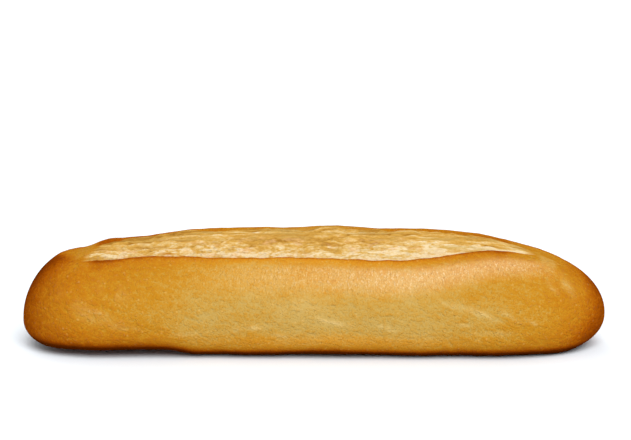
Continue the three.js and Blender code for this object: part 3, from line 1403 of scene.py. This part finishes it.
@dataclass(frozen=True)
class CrumbFinish:
    """The torn inside: cream by the near lip, golden further back, streaked along the tear and pitted, with
    painted shade in its tear lines and holes.
    """

    stops: Stops = (
        (0.0, "dac49a"),
        (0.25, "cfad6e"),
        (0.5, "c29444"),
        (0.75, "b38538"),
        (1.0, "9e6e26"),
    )
    olive: str = "b89a58"
    blush: str = "dbb086"
    # Colour of the painted shade in the crumb's holes.
    pit: str = "9a7c5c"
    streaks: Layer = Layer((36.0, 300.0, 300.0), 2.0)
    fibres: Layer = Layer((80.0, 850.0, 850.0), 2.0)
    clumps: Layer = Layer((320.0, 480.0, 480.0), 2.0)
    grain: Layer = Layer((700.0, 1000.0, 1000.0), 1.0, tint=0.24, swell=0.2)
    cell_scale: Axes = (600.0, 900.0, 900.0)
    strand_tints: tuple[float, ...] = (0.6, 0.45)
    strand_swells: tuple[float, ...] = (0.4, 0.3)
    lump_tints: tuple[float, ...] = (0.36, -0.3, 0.3)
    lump_swells: tuple[float, ...] = (0.5, 0.3)
    lump_tears: Layer = Layer((75.0, 230.0, 230.0), 2.0)
    strand_tears: Layer = Layer((16.0, 300.0, 300.0), 2.0)
    tear_width: Ramp = Ramp(0.0, 0.16)
    # How far the tear lines darken the crumb: painted shade in its cracks.
    tear_shade_tint: float = 0.34
    tear_swell: float = -0.1
    lighten: float = 0.13
    olive_bands: Layer = Layer((34.0, 420.0, 420.0), 2.0)
    olive_rise: Ramp = Ramp(-0.05, 0.4)
    olive_cover: float = 0.65
    olive_least: float = 0.25
    blush_patches: Layer = Layer((150.0, 260.0, 260.0), 2.0)
    blush_rise: Ramp = Ramp(0.0, 0.5)
    blush_cover: float = 0.5
    holes: Flecks = Flecks(560.0, 0.7, 0.55)
    # Shares of the painted shade in the holes.
    hole_shade_cover: float = 0.42
    hole_shade_least: float = 0.1
    hole_swell: float = -0.6
    roughness: float = 0.85
    roughness_swing: float = 0.08

    def look(self, bench: Bench, effects: Effects) -> Look:
        """Builds the crumb's colour, roughness and height.

        Args:
            bench: the material's nodes.
            effects: the shared groups.

        Returns:
            The finish over the surface.
        """
        layers = (self.streaks, self.fibres, self.clumps, self.grain)
        streaks, fibres, clumps, grain = (layer.place(bench, effects) for layer in layers)
        cells = bench.group(effects.pebbles, Scale=self.cell_scale)
        drawn = bench.mark(Mark.DRAWN)
        torn = (self.lump_tears, self.strand_tears)
        tears = bench.blend(drawn, *(self.tear_lines(bench, effects, layer) for layer in torn))
        strands = bench.total(*zip((streaks, fibres), self.strand_tints))
        lumps = bench.total(*zip((clumps, cells, streaks), self.lump_tints))
        uneven = bench.blend(drawn, lumps, strands)
        # The tear lines darken the crumb: painted shade in its cracks.
        uneven = bench.total((uneven, 1.0), (grain, self.grain.tint), (tears, self.tear_shade_tint))
        uneven = bench.calc("SUBTRACT", uneven, self.lighten)
        colour = bench.ramp(bench.calc("ADD", bench.mark(Mark.TOAST), uneven), self.stops)
        olive = bench.span(self.olive_bands.place(bench, effects), self.olive_rise)
        olive = bench.calc("MULTIPLY", olive, self.olive_cover)
        by_strands = bench.calc("MULTIPLY_ADD", drawn, 1 - self.olive_least, self.olive_least)
        colour = bench.mix(bench.calc("MULTIPLY", olive, by_strands), colour, paint(self.olive))
        blush = bench.span(self.blush_patches.place(bench, effects), self.blush_rise)
        blush = bench.calc("MULTIPLY", blush, self.blush_cover)
        by_lumps = bench.calc("SUBTRACT", 1.0, drawn)
        colour = bench.mix(bench.calc("MULTIPLY", blush, by_lumps), colour, paint(self.blush))
        # Painted shade: the holes are darkened to a grey brown, most where the crumb is pitted.
        pitted = bench.calc("MULTIPLY_ADD", bench.mark(Mark.PITS), self.hole_shade_cover, self.hole_shade_least)
        holes = bench.calc("MULTIPLY", self.holes.place(bench, effects), pitted)
        colour = bench.mix(holes, colour, paint(self.pit))
        strands = bench.total(*zip((streaks, fibres), self.strand_swells))
        lumps = bench.total(*zip((clumps, cells), self.lump_swells))
        relief = bench.blend(drawn, lumps, strands)
        raised = ((grain, self.grain.swell), (tears, self.tear_swell), (holes, self.hole_swell))
        height = bench.total((relief, 1.0), *raised)
        roughness = bench.calc("MULTIPLY_ADD", grain, self.roughness_swing, self.roughness)
        return Look(colour, roughness, height, streaks)

    def tear_lines(self, bench: Bench, effects: Effects, layer: Layer) -> NodeSocket:
        """Draws thin lines where the patches of one scale cross 0."""
        size = bench.calc("ABSOLUTE", layer.place(bench, effects))
        return bench.calc("SUBTRACT", 1.0, bench.span(size, self.tear_width))


@dataclass(frozen=True)
class BreadFinish:
    """The whole roll's finish: crust, and crumb where the score is torn open."""

    crust: CrustFinish = CrustFinish()
    crumb: CrumbFinish = CrumbFinish()
    fray: float = 0.35
    torn_rise: Ramp = Ramp(0.2, 0.8)
    specular: float = 0.0
    sheen: float = 0.9
    sheen_roughness: float = 0.5

    def material(self, effects: Effects) -> Material:
        """Builds the roll's material.

        Args:
            effects: the shared groups.

        Returns:
            The material.
        """
        made = bpy.data.materials.new("baked_bread")
        made.use_nodes = True
        bench = Bench(made.node_tree)
        shader = made.node_tree.nodes["Principled BSDF"]
        crust = self.crust.look(bench, effects)
        crumb = self.crumb.look(bench, effects)
        torn = bench.total((bench.mark(Mark.CRUMB), 1.0), (crumb.accent, self.fray))
        torn = bench.span(torn, self.torn_rise)
        bench.feed(shader.inputs["Base Color"], bench.mix(torn, crust.colour, crumb.colour))
        bench.feed(shader.inputs["Roughness"], bench.blend(torn, crust.roughness, crumb.roughness))
        height = bench.blend(torn, crust.height, crumb.height)
        bench.feed(shader.inputs["Normal"], bench.bump(height, MM))
        sheen = bench.calc("MULTIPLY", bench.mark(Mark.SHEEN), crust.accent)
        bench.feed(shader.inputs["Coat Weight"], bench.calc("MULTIPLY", sheen, self.sheen))
        shader.inputs["Coat Roughness"].default_value = self.sheen_roughness
        shader.inputs["Specular IOR Level"].default_value = self.specular
        return made


@dataclass
class BakedRoll:
    """The roll: its mesh, its vertices' marks and its finish."""

    form: LoafForm
    relief: Relief = Relief()
    bake: BakeMap = BakeMap()
    crumb: CrumbMap = CrumbMap()
    skin: SkinMap = SkinMap()
    finish: BreadFinish = BreadFinish()
    sections: int = 416
    ring_points: int = 240
    crowding: float = 0.44
    far_gap_weight: float = 3
    name: str = "baked_roll"
    marks: dict[Mark, list[float]] = field(default_factory=lambda: {mark: [] for mark in Mark})

    def station(self, along: float) -> float:
        """Gives the station of a ring by its place between the poles, crowded towards the tips."""
        return self.form.length / 2 * along * (1 + self.crowding * (1 - along * along))

    def torn_offset(self, section: Section, across: float, width: float) -> tuple[float, float, float]:
        """Works out the relief of the torn crumb.

        Args:
            section: the section there.
            across: the place across the score, from 0 to 1.
            width: the score's width there.

        Returns:
            The height over the bare loaf, how near a crest is, and how pitted the crumb is there.
        """
        form, relief = self.form, self.relief
        near, far = form.near_lip, form.far_lip
        x = section.x
        w = across * width
        torn = smoothstep(across, 0, form.lip_wall) * smoothstep(1 - across, 0, form.lip_wall)
        sunk = near.drop * math.exp(-across / near.fade) + far.drop * math.exp(-(1 - across) / far.fade)
        shred = relief.shred(x, w)
        pitted = self.crumb.pitted(x, across)
        floor = form.strand_height(x, across) - sunk
        floor += relief.shred_height * (shred - LEVEL_SHRED) + relief.lump_height * relief.lump(x, w)
        floor -= relief.pit_depth * relief.pit(x, w) * pitted
        edge = lerp(near.curl, far.curl, across)
        return section.opening * lerp(edge, floor, torn), shred, pitted

    def shape(self, section: Section, turn: float) -> Vector:
        """Finds one vertex's place, and notes its marks.

        Args:
            section: the section that the vertex lies in.
            turn: its turn about the poles.

        Returns:
            The vertex's place.
        """
        form = self.form
        near = section.near + self.relief.ragged(section.x)
        angle, across = form.place_round(turn, near, section.far)
        radius = form.radius(section, angle)
        reach = radius + form.dent_height(section, angle)
        if 0 < across < 1:
            width = (near - section.far) * radius
            offset, shred, pitted = self.torn_offset(section, across, width)
            lip_gap = min(across, self.far_gap_weight * (1 - across)) * width
            place = form.place(section, angle, reach + offset)
        else:
            shred, pitted = LEVEL_SHRED, 0.0
            lip = form.near_lip if turn > 0 else form.far_lip
            lip_gap = abs(angle - (near if turn > 0 else section.far)) * radius
            reach += section.opening * lip.curl * math.exp(-((lip_gap / lip.reach) ** 2))
            skin = self.relief.skin(form.place(section, angle, reach)) * section.inland
            place = form.place(section, angle, reach + skin)
        self.note(Spot(section, place, angle, across, lip_gap, turn > 0, shred, pitted))
        return place

    def note(self, spot: Spot) -> None:
        """Notes one vertex's marks.

        Args:
            spot: the vertex's place on the roll.
        """
        marks = {
            Mark.CRUMB: self.crumb.shown(self.form, spot),
            Mark.BROWNING: self.bake.browning(self.form, spot),
            Mark.TOAST: self.crumb.toast(spot),
            Mark.PITS: spot.pitted,
            Mark.DRAWN: self.crumb.drawn(spot),
            Mark.WRINKLES: self.skin.wrinkles(spot),
            Mark.STRETCHED: self.bake.stretched(spot),
            Mark.SHEEN: self.skin.sheen(spot),
            Mark.GLOW: self.skin.glow(spot),
        }
        for mark, value in marks.items():
            self.marks[mark].append(value)

    def build(self, low: Vector, high: Vector) -> Object:
        """Makes the roll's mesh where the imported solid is.

        Args:
            low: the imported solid's lowest corner.
            high: its highest corner.

        Returns:
            The roll's object.
        """
        made = bmesh.new()
        poles = Matrix.Rotation(math.pi / 2, 4, "Y")
        bmesh.ops.create_uvsphere(
            made, u_segments=self.ring_points, v_segments=self.sections, radius=1.0, matrix=poles
        )
        rings: dict[int, Section] = {}
        for vert in made.verts:
            along = 1 - 2 * math.acos(clamp(vert.co.x, -1, 1)) / math.pi
            ring = round(along * self.sections)
            if ring not in rings:
                rings[ring] = self.form.section(self.station(ring / self.sections))
            vert.co = self.shape(rings[ring], math.atan2(-vert.co.y, vert.co.z))
        bmesh.ops.recalc_face_normals(made, faces=made.faces)
        mesh = bpy.data.meshes.new(self.name)
        made.to_mesh(mesh)
        made.free()
        self.settle(mesh, low, high)
        mesh.shade_smooth()
        for mark, values in self.marks.items():
            mesh.attributes.new(mark.value, "FLOAT", "POINT").data.foreach_set("value", values)
        roll = bpy.data.objects.new(self.name, mesh)
        bpy.context.scene.collection.objects.link(roll)
        return roll

    @staticmethod
    def settle(mesh: Mesh, low: Vector, high: Vector) -> None:
        """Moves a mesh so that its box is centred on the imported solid's and stands on the same floor.

        Args:
            mesh: the mesh to move.
            low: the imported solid's lowest corner.
            high: its highest corner.
        """
        corners = [[v.co[axis] for v in mesh.vertices] for axis in range(3)]
        middle = [(min(c) + max(c)) / 2 for c in corners]
        move_x = (low.x + high.x) / 2 - middle[0]
        move_y = (low.y + high.y) / 2 - middle[1]
        mesh.transform(Matrix.Translation(Vector((move_x, move_y, low.z - min(corners[2])))))

    def dress(self, roll: Object, effects: Effects) -> None:
        """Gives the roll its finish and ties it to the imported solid.

        Args:
            roll: the roll's object.
            effects: the shared groups.
        """
        roll.data.materials.append(self.finish.material(effects))
        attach(roll, BODY)
        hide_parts(NODE)


@dataclass
class Studio:
    """The pale floor, the soft light and the camera."""

    floor_half: float = 6.0
    floor_colour: str = "f0f7fc"
    floor_roughness: float = 0.9
    floor_specular: float = 0.1
    sky_colour: str = "ffffff"
    sky_strength: float = 0.6
    key_strength: float = 2.6
    key_from: Axes = (0.18, -0.65, 0.74)
    back_strength: float = 0.7
    back_from: Axes = (-0.25, 0.75, 0.6)
    lamp_spread: float = math.radians(45)
    sensor: float = 36.0
    distance: float = 1.1
    elevation: float = math.radians(14)
    aim_height: float = 26 * MM
    roll_span_px: float = 581.5
    drop_px: float = 70.0
    left_px: float = 1.5

    def build_floor(self) -> Object:
        """Lays the floor under the roll.

        Returns:
            The floor's object.
        """
        made = bmesh.new()
        bmesh.ops.create_grid(made, x_segments=1, y_segments=1, size=self.floor_half)
        mesh = bpy.data.meshes.new("floor")
        made.to_mesh(mesh)
        made.free()
        finish = bpy.data.materials.new("pale_floor")
        finish.use_nodes = True
        shader = finish.node_tree.nodes["Principled BSDF"]
        shader.inputs["Base Color"].default_value = paint(self.floor_colour)
        shader.inputs["Roughness"].default_value = self.floor_roughness
        shader.inputs["Specular IOR Level"].default_value = self.floor_specular
        mesh.materials.append(finish)
        floor = bpy.data.objects.new("floor", mesh)
        bpy.context.scene.collection.objects.link(floor)
        return floor

    def build_light(self) -> None:
        """Lights the roll from all round, with a soft lamp above in front and a weak one behind."""
        scene = bpy.context.scene
        scene.world = bpy.data.worlds.new("studio")
        scene.world.use_nodes = True
        sky = scene.world.node_tree.nodes["Background"]
        sky.inputs["Color"].default_value = paint(self.sky_colour)
        sky.inputs["Strength"].default_value = self.sky_strength
        self.add_lamp("key", self.key_strength, self.key_from)
        self.add_lamp("back", self.back_strength, self.back_from)
        scene.view_settings.view_transform = "Standard"

    def add_lamp(self, name: str, strength: float, source: Axes) -> Object:
        """Adds a soft lamp that shines from a direction.

        Args:
            name: the lamp's name.
            strength: how strong it is.
            source: the direction that its light comes from.

        Returns:
            The lamp's object.
        """
        lamp = bpy.data.lights.new(name, "SUN")
        lamp.energy = strength
        lamp.angle = self.lamp_spread
        holder = bpy.data.objects.new(name, lamp)
        holder.rotation_euler = Vector(source).to_track_quat("Z", "Y").to_euler()
        bpy.context.scene.collection.objects.link(holder)
        return holder

    def build_camera(self, length: float) -> Object:
        """Sets the camera so that the roll fills the frame as in the photo.

        Args:
            length: the roll's length.

        Returns:
            The camera.
        """
        metres_per_px = length / self.roll_span_px
        data = bpy.data.cameras.new("photo_view")
        data.sensor_width = self.sensor
        data.lens = self.sensor * self.distance / (metres_per_px * PHOTO_WIDTH_PX)
        back = Vector((0, -math.cos(self.elevation), math.sin(self.elevation)))
        up = Vector((0, math.sin(self.elevation), math.cos(self.elevation)))
        side = Vector((self.left_px * metres_per_px, 0, 0))
        middle = Vector((0, 0, self.aim_height)) + side
        aim = middle + up * self.drop_px * metres_per_px
        camera = bpy.data.objects.new("photo_view", data)
        camera.location = middle + back * self.distance
        camera.rotation_euler = (camera.location - aim).to_track_quat("Z", "Y").to_euler()
        bpy.context.scene.collection.objects.link(camera)
        bpy.context.scene.camera = camera
        return camera


def main() -> None:
    """Builds the roll and the studio round it."""
    logging.basicConfig(level=logging.INFO, format="%(name)s: %(message)s")
    low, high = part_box(NODE)
    studio = Studio()
    studio.build_camera(high.x - low.x)
    studio.build_floor()
    studio.build_light()
    effects = Effects()
    baked = BakedRoll(LoafForm(length=high.x - low.x))
    roll = baked.build(low, high)
    baked.dress(roll, effects)
    LOG.info("%s: %d vertices, %d faces", roll.name, len(roll.data.vertices), len(roll.data.polygons))


if __name__ == "__main__":
    main()
